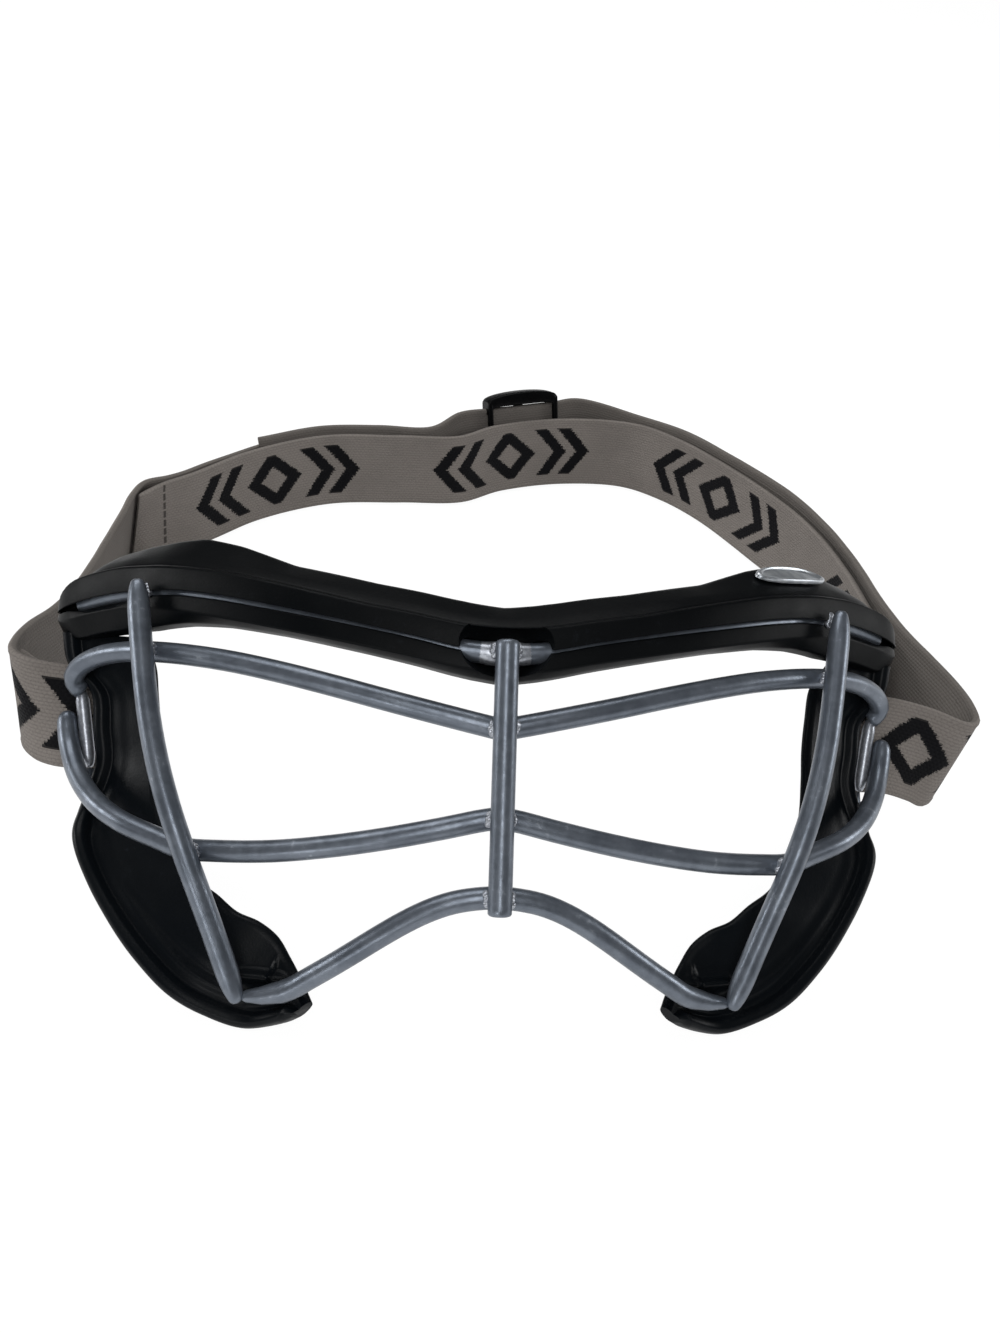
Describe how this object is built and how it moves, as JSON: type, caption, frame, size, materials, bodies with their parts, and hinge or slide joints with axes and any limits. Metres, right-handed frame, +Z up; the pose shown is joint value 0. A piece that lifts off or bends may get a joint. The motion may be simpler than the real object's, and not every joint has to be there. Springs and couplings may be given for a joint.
{
  "type": "field hockey goggles",
  "caption": "Wire cage eye guard with a rubber brow rim, padded forehead rest, rubber cheek wings and an elastic head strap with a slide adjuster.",
  "frame": {"origin": "under the middle of the whole part, at the level of the cut feet of the two cheek wings", "axes": "+Z up from the surface it stands on, +Y from the front of the wire cage towards the back of the head strap, +X to the right as seen from in front of the cage"},
  "size_m": [0.209, 0.2222, 0.0666],
  "materials": {
    "wire": "satin graphite-grey coating on steel wire",
    "rubber": "satin moulded black rubber",
    "webbing": "woven elastic, warm grey with black motifs",
    "silver": "bright satin, with a raised rim",
    "buckle": "satin moulded black"
  },
  "bodies": {
    "cage": {"centre_upright": "wire", "right_upright": "wire", "left_upright": "wire", "upper_rail": "wire", "lower_rail": "wire", "nose_arch": "wire", "brow_wire": "wire", "right_slot_bar": "wire", "left_slot_bar": "wire", "brow_channel": "rubber", "forehead_pad": "rubber", "right_cheek_wing": "rubber", "left_cheek_wing": "rubber", "right_strap_wrap": "webbing", "left_strap_wrap": "webbing", "badge": "silver"},
    "strap": {"strap_band": "webbing", "strap_return": "webbing", "strap_left": "webbing"},
    "slider": {"slider": "buckle"}
  },
  "joints": [
    {"name": "strap_tilt", "type": "hinge", "parent": "cage", "child": "strap", "pos_m": [-0.0054, -0.05164, 0.02272], "axis": [1, 0, 0], "range_deg": [-15, 25]},
    {"name": "slider_slide", "type": "slide", "parent": "strap", "child": "slider", "axis": [0.9361, 0.3517, 0], "range_m": [-0.007, 0.007]}
  ]
}
